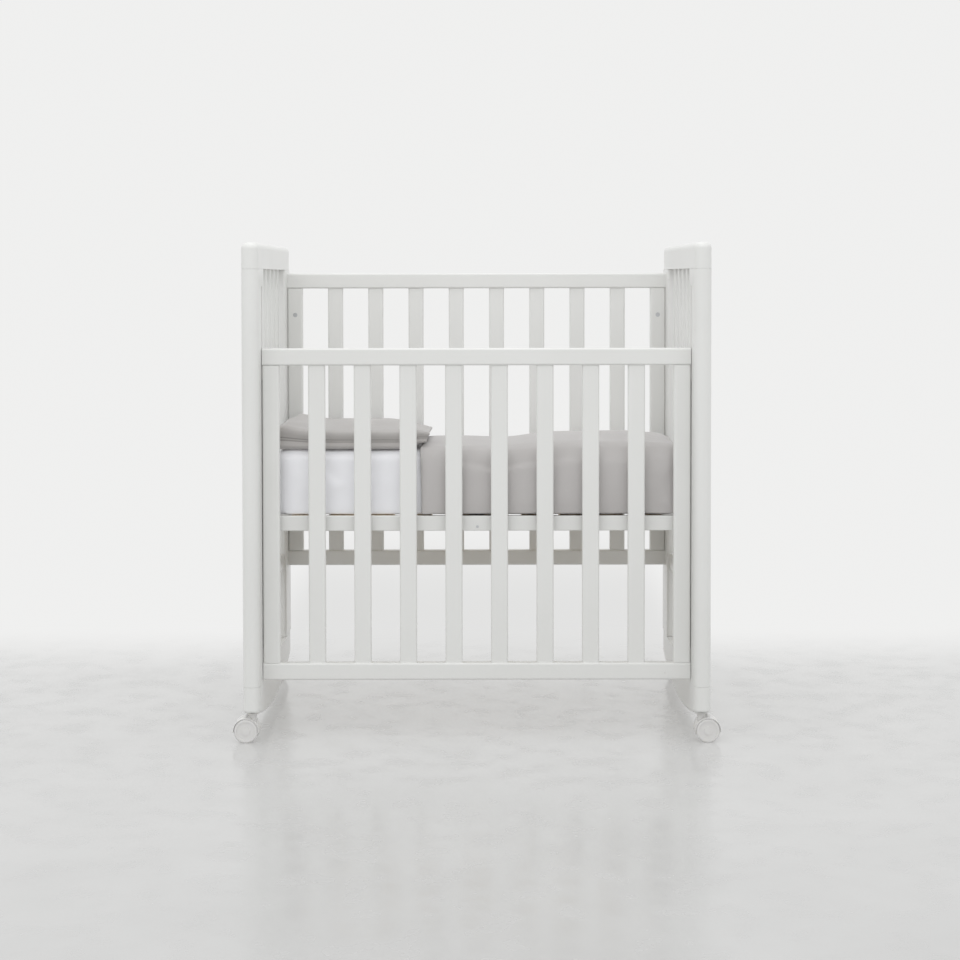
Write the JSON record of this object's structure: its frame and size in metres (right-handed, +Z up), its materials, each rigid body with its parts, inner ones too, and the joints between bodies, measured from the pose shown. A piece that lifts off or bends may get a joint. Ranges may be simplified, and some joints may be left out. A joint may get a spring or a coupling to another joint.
{
  "type": "convertible crib",
  "caption": "White slatted crib on casters: a front side that slides down and is caught when raised, a fixed back, rocker bases, mattress, quilt and pillow.",
  "frame": {"origin": "on the floor, under the middle of the crib's outer box", "axes": "+X along the crib's length to its right seen from the front, +Y from the front side to the back, +Z up"},
  "size_m": [0.963, 0.638, 0.987],
  "materials": {
    "white_lacquer": "white satin lacquer on solid wood",
    "bare_pine": "planed, unfinished",
    "white_plastic": "moulded nylon, fine satin",
    "zinc_steel": "zinc plated",
    "white_steel": "white powder coat",
    "white_sheet": "cotton percale",
    "grey_quilt": "washed cotton, warm grey",
    "grey_pillow": "washed cotton, warm grey"
  },
  "bodies": {
    "frame": {"left_cap": "white_lacquer", "right_cap": "white_lacquer", "front_left_post": "white_lacquer", "front_right_post": "white_lacquer", "rear_left_post": "white_lacquer", "rear_right_post": "white_lacquer", "left_lower_rail": "white_lacquer", "right_lower_rail": "white_lacquer", "left_end_slats": "white_lacquer", "right_end_slats": "white_lacquer", "left_rocker_base": "white_lacquer", "right_rocker_base": "white_lacquer", "back_bottom_bar": "white_lacquer", "back_top_bar": "white_lacquer", "back_slats": "white_lacquer", "back_left_stile": "white_lacquer", "back_right_stile": "white_lacquer", "platform_front_rail": "white_lacquer", "platform_rear_rail": "white_lacquer", "platform_end_rails": "white_lacquer", "platform_slats": "bare_pine", "platform_centre_rail": "bare_pine", "guide_channels": "white_plastic", "caster_sockets": "white_plastic", "back_side_bolts": "zinc_steel", "back_side_barrel_nuts": "zinc_steel", "catch_pivot_screws": "zinc_steel", "platform_bolts": "zinc_steel", "platform_angles": "white_steel", "mattress": "white_sheet", "quilt": "grey_quilt", "pillow": "grey_pillow"},
    "front_side": {"front_bottom_bar": "white_lacquer", "front_top_bar": "white_lacquer", "front_slats": "white_lacquer", "front_left_stile": "white_lacquer", "front_right_stile": "white_lacquer", "front_side_sliders": "white_plastic", "keeper_studs": "zinc_steel"},
    "left_catch": {"left_catch_arm": "white_plastic", "left_catch_knob": "white_plastic"},
    "right_catch": {"right_catch_arm": "white_plastic", "right_catch_knob": "white_plastic"},
    "front_left_caster": {"front_left_caster_hood": "white_plastic", "front_left_caster_stem": "zinc_steel", "front_left_caster_axle": "zinc_steel"},
    "front_left_wheels": {"front_left_caster_wheels": "white_plastic"},
    "front_right_caster": {"front_right_caster_hood": "white_plastic", "front_right_caster_stem": "zinc_steel", "front_right_caster_axle": "zinc_steel"},
    "front_right_wheels": {"front_right_caster_wheels": "white_plastic"},
    "rear_left_caster": {"rear_left_caster_hood": "white_plastic", "rear_left_caster_stem": "zinc_steel", "rear_left_caster_axle": "zinc_steel"},
    "rear_left_wheels": {"rear_left_caster_wheels": "white_plastic"},
    "rear_right_caster": {"rear_right_caster_hood": "white_plastic", "rear_right_caster_stem": "zinc_steel", "rear_right_caster_axle": "zinc_steel"},
    "rear_right_wheels": {"rear_right_caster_wheels": "white_plastic"}
  },
  "joints": [
    {"name": "front_side_slide", "type": "slide", "parent": "frame", "child": "front_side", "axis": [0, 0, 1], "range_m": [0, 0.15]},
    {"name": "left_catch_turn", "type": "hinge", "parent": "frame", "child": "left_catch", "pos_m": [-0.412, -0.2265, 0.6897], "axis": [-1, 0, 0], "range_deg": [0, 90]},
    {"name": "right_catch_turn", "type": "hinge", "parent": "frame", "child": "right_catch", "pos_m": [0.412, -0.2265, 0.6897], "axis": [-1, 0, 0], "range_deg": [0, 90]},
    {"name": "front_left_caster_swivel", "type": "hinge", "parent": "frame", "child": "front_left_caster", "pos_m": [-0.444, -0.291, 0.05], "axis": [0, 0, 1], "continuous": true},
    {"name": "front_left_wheels_roll", "type": "hinge", "parent": "front_left_caster", "child": "front_left_wheels", "pos_m": [-0.456, -0.291, 0.0235], "axis": [0, 1, 0], "continuous": true},
    {"name": "front_right_caster_swivel", "type": "hinge", "parent": "frame", "child": "front_right_caster", "pos_m": [0.444, -0.291, 0.05], "axis": [0, 0, 1], "continuous": true},
    {"name": "front_right_wheels_roll", "type": "hinge", "parent": "front_right_caster", "child": "front_right_wheels", "pos_m": [0.456, -0.291, 0.0235], "axis": [0, 1, 0], "continuous": true},
    {"name": "rear_left_caster_swivel", "type": "hinge", "parent": "frame", "child": "rear_left_caster", "pos_m": [-0.444, 0.291, 0.05], "axis": [0, 0, 1], "continuous": true},
    {"name": "rear_left_wheels_roll", "type": "hinge", "parent": "rear_left_caster", "child": "rear_left_wheels", "pos_m": [-0.456, 0.291, 0.0235], "axis": [0, 1, 0], "continuous": true},
    {"name": "rear_right_caster_swivel", "type": "hinge", "parent": "frame", "child": "rear_right_caster", "pos_m": [0.444, 0.291, 0.05], "axis": [0, 0, 1], "continuous": true},
    {"name": "rear_right_wheels_roll", "type": "hinge", "parent": "rear_right_caster", "child": "rear_right_wheels", "pos_m": [0.456, 0.291, 0.0235], "axis": [0, 1, 0], "continuous": true}
  ]
}
